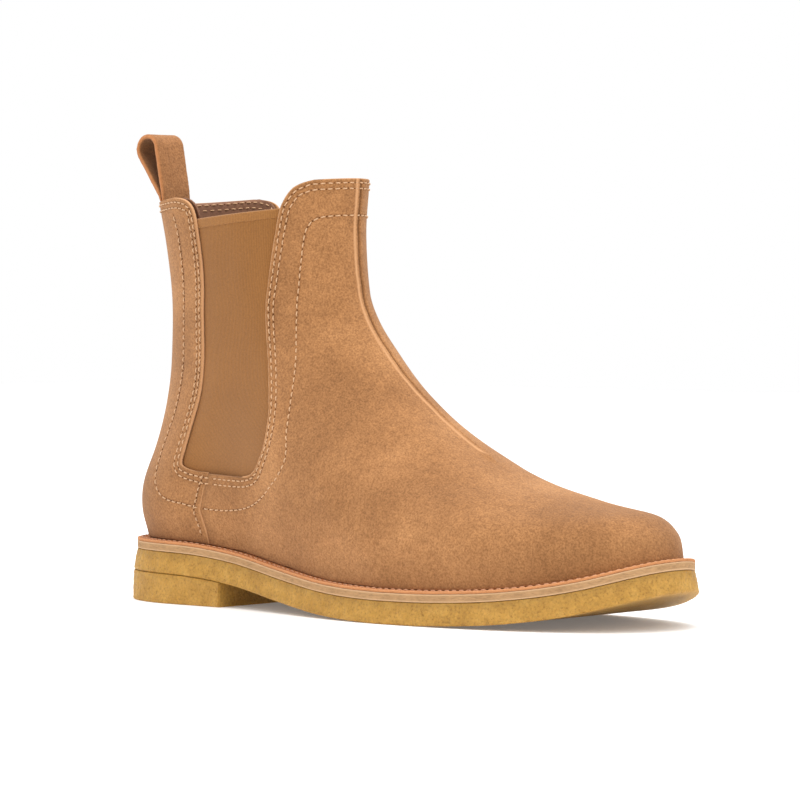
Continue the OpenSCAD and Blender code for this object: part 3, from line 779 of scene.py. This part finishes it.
def build_vamp():
    t, phi = vamp_grid()
    p = skin(t, phi)
    out = creases(p) - sew_marks(p, both(ROWS_FRONT + [LINE_FRONT]))
    # Front seam: the outer half laps over with a raised cut edge, and a groove beside it, darkened with
    # painted shade
    seam = ease(SEAM_LOW - 0.005, SEAM_LOW + 0.02, t)
    along = p[..., 1] - skin(t, np.zeros_like(phi))[..., 1] + curve(FRONT_SEAM, t)[..., 0]
    along = along + 0.25 * noise_at(p, 5, 8.1)
    ridge = np.exp(-((along - 0.9) / 0.95) ** 2)
    groove = np.exp(-((along - 2.6) / 0.9) ** 2)
    # light: a pale line along the lapped edge, its cut-edge colour plus painted highlight
    light = np.exp(-((along + 0.1) / 0.5) ** 2)
    knot = np.exp(-(((t - SEAM_LOW) / 0.012) ** 2 + (along / 2.2) ** 2))
    out = out + seam * (0.9 * ridge - 1.5 * groove) + 1.2 * knot
    # Below the elastic its edge goes under the quarter, with painted shade where it does
    under = ease(-3.2, -1.2, np.abs(phi) - vamp_edge(t)) * (t < GORE_BOTTOM)
    out = out - 0.45 * under
    # Painted shade low on the vamp, by the welt
    low = (1 - ease(0.0, 0.075, t)) * 0.22
    shade = np.clip(low + 0.95 * seam * groove + 0.3 * under, 0, 1)
    foot_edge = skin(np.zeros(900), np.linspace(-128, 128, 900))
    border = np.concatenate([skin(*other_side(FRONT_EDGE)), skin(*FRONT_EDGE), foot_edge])
    obj = ply("vamp_suede", SUEDE, t, phi, 0, SUEDE_T, out, shade=shade, border=border,
              cut_edge_and_highlight=seam * light)
    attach(obj, "boot")
    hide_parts("vamp")


def build_quarter(sign, name, nodes):
    """A quarter: wide round the heel, a strip behind the elastic."""
    ts = np.concatenate([
        [0, 0.0008, 0.002, 0.004, 0.007], np.linspace(0.012, 0.204, 46), [0.2065, 0.208, 0.2095],
        np.linspace(0.211, 0.245, 22), np.linspace(0.25, 0.92, 120), np.linspace(0.924, 0.978, 20),
        [0.980, 0.982, 0.984, 0.9855, 0.987, 0.988]])
    edge = quarter_edge(ts)
    share = clustered(60, 0.85)
    phi = edge[:, None] + (179.72 - edge[:, None]) * share[None]
    t = np.repeat(ts[:, None], len(share), axis=1)
    if sign < 0:
        phi = -phi[:, ::-1]
    p = skin(t, phi)
    lines = [(a, sign * b) for a, b in ROWS_BACK + [LINE_BACK]]
    out = 0.35 * noise_at(p, 24, 5.5) - sew_marks(p, lines)
    back = np.abs(180 - np.abs(phi))
    out = out + 0.35 * np.exp(-(back / 5) ** 2) * ease(0.2, 0.3, t)
    out = out + 0.12 * (1 - ease(0, 2.5, np.abs(phi) - quarter_edge(t))) * (t < GORE_BOTTOM)
    # Painted shade low on the quarter, by the welt
    low = (1 - ease(0.0, 0.07, t)) * 0.22
    obj = ply(name, SUEDE, t, phi, 0, SUEDE_T, out, shade=low)
    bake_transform(obj)
    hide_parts(*nodes)


GORE_LAP = 8


def gore_grid(sign, t0, t1, n_rows):
    ts = np.linspace(t0, t1, n_rows)
    a = curve(GORE_FRONT, np.clip(ts, 0.255, 0.93))[:, 0] - GORE_LAP
    b = curve(GORE_BACK, np.clip(ts, 0.25, 0.93))[:, 0] + GORE_LAP * ease(0.188, 0.208, ts)
    share = clustered(75, 1.1)
    phi = a[:, None] + (b - a)[:, None] * share[None]
    t = np.repeat(ts[:, None], len(share), axis=1)
    return (t, phi) if sign > 0 else (t, -phi[:, ::-1])


def build_gore(sign, name, node_name, hem_name, hem_node):
    # It reaches far enough under the panels below it to stay covered as the back opens
    t, phi = gore_grid(sign, 0.135, GORE_TOP + 0.004, 130)
    p = skin(t, phi)
    out = 0.22 * noise_at(p, 20, 9.2) + 0.35 * np.sin(np.clip((t - 0.22) / 0.71, 0, 1) * np.pi)
    out = out * ease(0.18, 0.22, t)
    obj = ply(name, ELASTIC, t, phi, CORE_DEPTH, CORE_T, out)
    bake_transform(obj)
    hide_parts(node_name)
    t, phi = gore_grid(sign, GORE_TOP - 0.004, HEM_TOP, 12)
    hem_out = np.full_like(t, 0.35)
    hem = ply(hem_name, HEM, t, phi, CORE_DEPTH, CORE_T + 0.35, hem_out, 0.7)
    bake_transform(hem)
    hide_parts(hem_node)


def build_lining():
    """Lining: one piece under the vamp and one round the heel and up the back."""
    t, phi = vamp_grid()
    keep_t = np.unique(np.r_[np.arange(0, len(t), 2), len(t) - 1])
    keep_c = np.unique(np.r_[np.arange(0, t.shape[1], 2), t.shape[1] - 1])
    t, phi = t[np.ix_(keep_t, keep_c)], phi[np.ix_(keep_t, keep_c)]
    t = 0.012 + (t - 0) / 0.995 * (0.987 - 0.012)
    obj = ply("vamp_lining_leather", LINING, t, phi, LINING_DEPTH, LINING_T,
              0.15 * noise_at(skin(t, phi), 14, 2.2))
    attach(obj, "boot")
    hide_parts("vamp_lining")
    ts = np.concatenate([np.linspace(0.012, 0.204, 24), np.linspace(0.2075, 0.245, 12),
                         np.linspace(0.25, 0.984, 90)])
    edge = quarter_edge(ts) + 0.6
    share = clustered(120, 1.6)
    phi = edge[:, None] + (360 - 2 * edge[:, None]) * share[None]
    t = np.repeat(ts[:, None], len(share), axis=1)
    obj = ply("quarter_lining_leather", LINING, t, phi, LINING_DEPTH, LINING_T,
              0.15 * noise_at(skin(t, phi), 14, 2.8))
    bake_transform(obj)
    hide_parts("heel_lining", "back_lining")


def build_backstay():
    ts = np.linspace(0.34, 0.96, 260)
    share = clustered(14, 0.7)
    wave = np.sin(ts * 330)
    phi = 171 - wave[:, None] * 0.4 + (18 + wave[:, None] * 0.8) * share[None]
    t = np.repeat(ts[:, None], len(share), axis=1)
    out = 0.28 * np.sin(t * 330) * np.abs(2 * share[None] - 1) + 0.1 * noise_at(skin(t, phi), 3, 1.1)
    obj = ply("backstay_strip", SHADED_BACKSTAY, t, phi, -1.25, 1.1, out)
    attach(obj, "back")
    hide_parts("backstay")


def build_pull_loop():
    """Folded strap: up the outside, over the top and down again, its ends sewn in the collar."""
    foot = LOOP_HINGE[[0, 2]]
    # Radius of the round top and half the distance between the legs, at mid-thickness
    top_r, half_gap = 5.95, 1.15
    top = np.array([LOOP_LO[0] + top_r + 1.2, LOOP_HI[2] - top_r - 1.2])
    leg = foot - top
    aim = math.atan2(leg[1], leg[0])
    half = math.acos((top_r - half_gap) / np.linalg.norm(leg))
    angles = np.linspace(aim + half, aim + 2 * math.pi - half, 46)
    ring = top + top_r * np.stack([np.cos(angles), np.sin(angles)], 1)
    side = np.array([-leg[1], leg[0]]) / np.linalg.norm(leg)
    down = np.array([0.17, -1.0])
    down /= np.linalg.norm(down)
    ends = []
    for s in (1, -1):
        at_foot = foot + side * half_gap * s
        # The ends close up and step inwards, between the suede and the lining
        tail = [foot + side * s * (half_gap - 0.75 * min(1, d / 6)) + down * d
                + np.array([0.9 * min(1, d / 6), 0]) for d in (1.5, 3, 5, 8, 13, 19)]
        ends.append(np.array([at_foot] + tail))
    start = ring[0] + (ends[0][0] - ring[0]) * np.linspace(1, 0, 16)[:-1, None]
    finish = ring[-1] + (ends[1][0] - ring[-1]) * np.linspace(0, 1, 16)[1:, None]
    path = np.concatenate([ends[0][:0:-1], start, ring, finish, ends[1][1:]])
    d = np.concatenate([[0], np.cumsum(np.linalg.norm(np.diff(path, axis=0), axis=1))])
    at = np.linspace(0, d[-1], 200)
    path = np.stack([np.interp(at, d, path[:, 0]), np.interp(at, d, path[:, 1])], 1)
    for _ in range(3):
        path[1:-1] = (path[:-2] + 2 * path[1:-1] + path[2:]) / 4
    way = np.gradient(path, axis=0)
    way /= np.linalg.norm(way, axis=1, keepdims=True)
    normal = np.stack([way[:, 1], -way[:, 0]], 1)
    width, thick = LOOP_HI[1] - LOOP_LO[1], 2.2
    ys = (clustered(width, 0.7, (0, 0.1, 0.3, 0.6, 1.1)) - 0.5) * width
    edge = width / 2 - np.abs(ys)
    k = np.clip(1 - edge / (thick / 2), 0, 1)
    tuck = thick / 2 * (1 - np.sqrt(1 - k * k))
    thin = np.where(np.minimum(at, d[-1] - at) < 17, 0.3, 1.0)
    thin = np.convolve(np.pad(thin, 6, mode="edge"), np.ones(13) / 13, mode="valid")
    verts = []
    for sgn in (1, -1):
        h = (thick / 2 - tuck)[None, :] * thin[:, None] * sgn
        x = path[:, 0:1] + normal[:, 0:1] * h
        z = path[:, 1:2] + normal[:, 1:2] * h
        y = np.broadcast_to(ys[None], h.shape)
        verts.append(np.stack([x, y, z], -1))
    rows, cols = verts[0].shape[:2]
    p = np.concatenate([v.reshape(-1, 3) for v in verts])
    p = p + 0.25 * noise_at(p, 9, 1.7)[:, None] * np.array([1, 0, 0.2])
    ragged = np.tile(np.clip(1 - edge / 0.8, 0, 1), 2 * rows) * np.sign(p[:, 1])
    p[:, 1] += 0.3 * ragged * (noise_at(p, 1.3, 2.1) + 0.4 * noise_at(p, 0.6, 2.6))
    rim = np.tile(np.clip(1 - edge / 0.9, 0, 1), rows)
    # Painted shade on the face inside the loop, where shadow falls
    faces_in = 1 if ((top - path[60:140]) * normal[60:140]).sum() > 0 else -1
    loop_inner_shade = [np.tile(0.62 * (1 - np.clip(1 - edge / 0.9, 0, 1)), rows) * (sgn == faces_in)
             for sgn in (1, -1)]
    uv = np.stack([np.tile(ys, rows), np.repeat(at, cols)], 1) * MM
    obj = make_object("pull_loop_strap", p, sheet_faces(rows, cols), STRAP,
                      {"rim": np.tile(rim, 2), "shade": np.concatenate(loop_inner_shade)}, np.tile(uv, (2, 1)))
    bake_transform(obj)
    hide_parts("pull_loop", "pull_loop_tails")


# ---------------------------------------------------------------- the sole

OUTLINE_N = 640


def outline(g):
    """Closed outline of the sole grown by g, in mm: x, y at even steps round it."""
    phi = np.linspace(-180, 180, 2401)
    p = on_level(0.0, phi, g)
    d = np.concatenate([[0], np.cumsum(np.linalg.norm(np.diff(p[:, :2], axis=0), axis=1))])
    at = np.linspace(0, d[-1], OUTLINE_N, endpoint=False)
    return np.stack([np.interp(at, d, p[:, 0]), np.interp(at, d, p[:, 1])], 1), at


def spine(xy):
    """Middle line of the sole opposite each outline point."""
    x = np.clip(xy[:, 0], BACK[0, 1] + 26, FRONT[0, 1] - 34)
    s = np.clip((x - BACK[0, 1]) / (FRONT[0, 1] - BACK[0, 1]), 0, 1)
    return np.stack([x, TOE_LEAN * s * s * 0.9], 1)


def clipped(xy, front):
    """The outline's part behind x = front, closed by a straight front, at even steps."""
    keep = xy[:, 0] < front
    first = np.argmax(keep & ~np.roll(keep, 1))
    arc = np.roll(xy, -first, axis=0)[: keep.sum()]
    y0, y1 = arc[-1, 1], arc[0, 1]
    line = np.column_stack([np.full(80, front), np.linspace(y0, y1, 80)])
    corner = np.minimum(np.abs(line[:, 1] - y0), np.abs(line[:, 1] - y1))
    line[:, 0] -= 0.6 * np.clip(1 - corner / 1.2, 0, 1) ** 2
    return np.vstack([arc, line])


def lofted(name, material, rings, attributes=None):
    """Solid from rings of points, in order from the middle of the top round to the bottom."""
    n = len(rings[0])
    i = np.arange(n)
    j = (i + 1) % n
    faces = [np.stack([r * n + i, (r + 1) * n + i, (r + 1) * n + j, r * n + j], 1)
             for r in range(len(rings) - 1)]
    obj = make_object(name, np.concatenate(rings), np.concatenate(faces), material, attributes)
    bm = bmesh.new()
    bm.from_mesh(obj.data)
    bmesh.ops.remove_doubles(bm, verts=bm.verts, dist=0.00003)
    bmesh.ops.recalc_face_normals(bm, faces=bm.faces)
    bm.to_mesh(obj.data)
    bm.free()
    return obj


def sole_layer(name, material, g, low, high, node_name, wall, rough=0.12, flare=0.0,
               edge_r=0.6, scale=3.0, seed=0.0, front=None, top_shade=0.0):
    """Layer of the sole. low and high are heights over the feather line in mm, or functions of x."""
    def height(f, x):
        return f(x) if callable(f) else feather(x) + f

    xy, _ = outline(g)
    mid = spine(xy)
    if front is not None:
        xy = clipped(xy, front)
        mid = spine(xy)
        mid[:, 0] = np.minimum(mid[:, 0], front - 12)
    out = xy - mid
    away = out / np.linalg.norm(out, axis=1, keepdims=True)
    # shade is painted shade: top_shade on the top and fading down the upper wall under the layer above,
    # and 0.5 on the underside of a layer that has any
    rings, shade, rim = [], [], []

    def ring(share, grow, f, drop, e=0.0, dark=0.0):
        flat = mid + out * share + away * grow
        rings.append(np.column_stack([flat, height(f, flat[:, 0]) + drop]))
        shade.append(np.full(len(flat), dark))
        rim.append(np.full(len(flat), e))

    def rounded(grow, f, sign, dark):
        angles = np.radians(np.linspace(0, 90, 5))
        for q in angles if sign < 0 else angles[::-1]:
            ring(1, grow - edge_r * (1 - math.sin(q)), f, sign * edge_r * (1 - math.cos(q)),
                 1 if q > 0.3 else 0.5, dark)

    for share in (0.0, 0.3, 0.6, 0.85):
        ring(share, 0, high, 0, 0, top_shade)
    rounded(0, high, -1, top_shade)
    top_z = rings[-1][:, 2]
    bottom_z = height(low, xy[:, 0]) + edge_r
    for u in np.linspace(0, 1, wall + 1)[1:-1]:
        rings.append(np.column_stack([xy + away * flare * u, top_z * (1 - u) + bottom_z * u]))
        shade.append(np.full(len(xy), top_shade * max(0.0, 1 - 2.2 * u)))
        rim.append(np.full(len(xy), max(0.0, 1 - 7 * min(u, 1 - u))))
    rounded(flare, low, 1, 0)
    for share in (0.85, 0.6, 0.3, 0.0):
        ring(share, 0, low, 0, 0, 0.5 if top_shade else 0)
    p = np.array(rings)
    wobble = rough * (noise_at(p, scale, seed) + 0.6 * noise_at(p, scale * 0.4, seed + 4))
    wobble[:4] = 0
    wobble[-4:] = 0
    p[..., :2] += wobble[..., None] * away[None]
    obj = lofted(name, material, list(p), {"shade": np.concatenate(shade), "rim": np.concatenate(rim)})
    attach(obj, "boot")
    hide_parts(node_name)
    return obj


MID_HIGH = -WELT_T - STACK_GAP
MID_LOW = MID_HIGH - MIDSOLE_T
CREPE_HIGH = MID_LOW - STACK_GAP
CREPE_LOW = CREPE_HIGH - CREPE_T


def build_sole():
    sole_layer("crepe_sheet", CREPE, CREPE_REACH, CREPE_LOW, CREPE_HIGH, "crepe_sole",
               10, 0.28, CREPE_FLARE, 1.1, 3.2, 1.0, top_shade=0.24)
    sole_layer("midsole_leather", MIDSOLE, WELT_REACH, MID_LOW, MID_HIGH, "midsole",
               8, 0.10, 0.0, 0.35, 2.0, 2.0)
    heel = sole_layer("crepe_heel_block", CREPE, CREPE_REACH + CREPE_FLARE, np.zeros_like,
                      lambda x: feather(x) + CREPE_LOW - STACK_GAP, "crepe_heel", 12, 0.28,
                      HEEL_FLARE, 0.8, 3.2, 3.0, front=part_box("crepe_heel")[1][0] / MM, top_shade=0.1)
    heel.data.set_sharp_from_angle(angle=math.radians(40))
    board = 2.4
    inset = SUEDE_T + CORE_T + LINING_T + 2 * PLY_GAP + 1.6
    sole_layer("sock_leather_liner", SOCK, -inset - 0.3, board + 0.2, board + 1.8, "sock_liner",
               2, 0.05, 0.0, 0.4, 8.0, 5.0)
    pad = sole_layer("heel_cushion_pad", PAD, -inset - 4, board + 1.9, board + 3.9, "heel_pad",
                     3, 0.06, 0.0, 0.8, 8.0, 6.0, front=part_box("heel_pad")[1][0] / MM)


def build_welt():
    """Leather strip round the sole with a fuzzy cut edge, and the thread that holds it."""
    xy, at = outline(WELT_REACH)
    mid = spine(xy)
    out = xy - mid
    reach = np.linalg.norm(out, axis=1, keepdims=True)
    away = out / reach
    r = 0.35
    rings, rim = [], []

    def ring(back, z, e):
        flat = xy - away * back
        rings.append(np.column_stack([flat, feather(flat[:, 0]) + z]))
        rim.append(np.full(len(flat), e))

    ring(13.0, 0, 0)
    ring(6.0, 0, 0)
    ring(3.4, 0, 0.1)
    ring(2.2, -0.12, 0.25)
    ring(1.2, 0, 0.6)
    for a in np.linspace(0, 90, 4):
        q = math.radians(a)
        ring(r * (1 - math.sin(q)), -r * (1 - math.cos(q)), 1)
    ring(0, -WELT_T / 2, 0.35)
    for a in np.linspace(90, 0, 4):
        q = math.radians(a)
        ring(r * (1 - math.sin(q)), -WELT_T + r * (1 - math.cos(q)), 0.6)
    ring(13.0, -WELT_T, 0)
    ring(13.0, 0, 0)
    p = np.array(rings)
    fuzz = 0.22 * (noise_at(p, 1.6, 11) + 0.7 * noise_at(p, 0.8, 12))
    fuzz[:4] = 0
    fuzz[-1] = 0
    p[..., :2] += fuzz[..., None] * away[None]
    p[3:6, :, 2] += 0.10 * noise_at(p[3:6], 1.5, 14)
    obj = lofted("welt_strip", WELT, list(p), {"rim": np.concatenate(rim)})
    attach(obj, "boot")
    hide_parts("welt")
    # Welt stitches lie in the channel, 2.2 mm in from the edge
    length = at[1] * len(at)
    count = int(length / 3.6)
    spots = np.linspace(0, length, count, endpoint=False)
    row = xy - away * 2.2
    closed = np.vstack([row, row[:1]])
    where = np.append(at, length)

    def in_channel(spots):
        x, y = (np.interp(spots, where, closed[:, k]) for k in (0, 1))
        return np.column_stack([x, y, feather(x) + 0.05])

    p0 = in_channel(spots)
    way = in_channel((spots + 0.5) % length) - p0
    way /= np.linalg.norm(way, axis=1, keepdims=True)
    normal = np.tile([0, 0, 1.0], (len(p0), 1))
    way = way + np.cross(way, normal) * rng.normal(0, 0.08, (len(way), 1))
    way /= np.linalg.norm(way, axis=1, keepdims=True)
    threads = capsules(p0, way, normal, 2.8, 0.40, 0.12, -0.35)
    stitches = make_object("welt_stitching", *threads, WELT_THREAD)
    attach(stitches, "boot")


# ---------------------------------------------------------------- build

build_vamp()
build_quarter(1, "quarter_outer_suede", ["quarter_outer", "back_panel_outer"])
build_quarter(-1, "quarter_inner_suede", ["quarter_inner", "back_panel_inner"])
build_gore(1, "gore_outer_elastic", "gore_outer", "gore_outer_hem", "gore_hem_outer")
build_gore(-1, "gore_inner_elastic", "gore_inner", "gore_inner_hem", "gore_hem_inner")
build_lining()
build_backstay()
build_pull_loop()
build_sole()
build_welt()

sew("vamp_seams", both(ROWS_FRONT + [LINE_FRONT]), "boot")
sew("quarter_seams", both(ROWS_BACK + [LINE_BACK]), BACK_BEND)
sew("side_seams", both([SIDE_SEAM]), "boot", pitch=3.0, length=1.9, proud=0.3)
sew("lining_seams", both([above(0.45, line) for line in ROWS_BACK]), BACK_BEND, inside=True)
sew("collar_seams", both([above(0.45, line) for line in ROWS_FRONT]), "boot", inside=True)

for names, material in (
    (("insole_board",), BOARD), (("cork_filler",), CORK), (("toe_puff", "heel_counter"), CANVAS),
    (("shank", "shank_tacks", "heel_nails"), STEEL),
):
    for name in names:
        mesh = frame["nodes"][name].data
        mesh.materials.clear()
        mesh.materials.append(material)

# ---------------------------------------------------------------- studio


def build_studio():
    reach = 3.0
    mesh = bpy.data.meshes.new("studio_floor")
    mesh.from_pydata([(-reach, -reach, 0), (reach, -reach, 0), (reach, reach, 0), (-reach, reach, 0)],
                     [], [(0, 1, 2, 3)])
    floor = bpy.data.objects.new("studio_floor", mesh)
    bpy.context.scene.collection.objects.link(floor)
    m, tree, bsdf, tex = new_material("pale_floor")
    clouds = noise_node(tree, tex["Object"], 3)
    r = ramp(tree, clouds, [(0.4, (0.93, 0.93, 0.93)), (0.6, (0.95, 0.95, 0.95))])
    tree.links.new(r, bsdf.inputs["Base Color"])
    settle(bsdf, {"Roughness": 0.6, "Specular IOR Level": 0.2, "Emission Color": (1, 1, 1, 1),
                  "Emission Strength": 0.12})
    mesh.materials.append(m)


def area_light(name, at, target, size, watts, colour=(1, 1, 1)):
    light = bpy.data.lights.new(name, "AREA")
    light.shape = "RECTANGLE"
    light.size, light.size_y = size
    light.energy = watts
    light.color = colour
    obj = bpy.data.objects.new(name, light)
    obj.location = at
    obj.rotation_euler = (Vector(target) - Vector(at)).to_track_quat("-Z", "Y").to_euler()
    bpy.context.scene.collection.objects.link(obj)


CAMERA_AZIMUTH, CAMERA_ELEVATION = 42.5, 1.5
CAMERA_DISTANCE = 1.8
CAMERA_LENS = 177.8


def build_camera():
    a, e = math.radians(CAMERA_AZIMUTH), math.radians(CAMERA_ELEVATION)
    back = Vector((math.sin(a) * math.cos(e), -math.cos(a) * math.cos(e), math.sin(e)))
    right = Vector((math.cos(a), math.sin(a), 0))
    up = back.cross(right)
    middle = Vector((0.074 * KX, 0, 0.1))
    target = middle + right * 0.0328 - up * 0.0055
    data = bpy.data.cameras.new("camera")
    data.lens = CAMERA_LENS
    data.sensor_width = 36
    cam = bpy.data.objects.new("camera", data)
    cam.location = middle + back * CAMERA_DISTANCE
    cam.rotation_euler = (target - cam.location).to_track_quat("-Z", "Y").to_euler()
    bpy.context.scene.collection.objects.link(cam)
    bpy.context.scene.camera = cam
    return back, right


def build_lights(back, right):
    centre = Vector((0.1, 0, 0.1))
    area_light("key", centre + right * 0.7 + back * 1.0 + Vector((0, 0, 1.2)), centre, (1.2, 1.2), 5,
               (1, 0.985, 0.96))
    area_light("fill", centre + right * -1.2 + back * 0.8 + Vector((0, 0, 0.7)), centre, (1.2, 1.2), 1.2)
    area_light("top", centre + Vector((0, 0, 1.7)), centre, (1.6, 1.6), 26)
    world = bpy.data.worlds.new("studio")
    world.use_nodes = True
    shade = world.node_tree.nodes["Background"]
    shade.inputs["Color"].default_value = (1, 1, 1, 1)
    shade.inputs["Strength"].default_value = 1.0
    bpy.context.scene.world = world
    view = bpy.context.scene.view_settings
    view.view_transform = "Standard"
    view.look = "None"


build_studio()
build_lights(*build_camera())
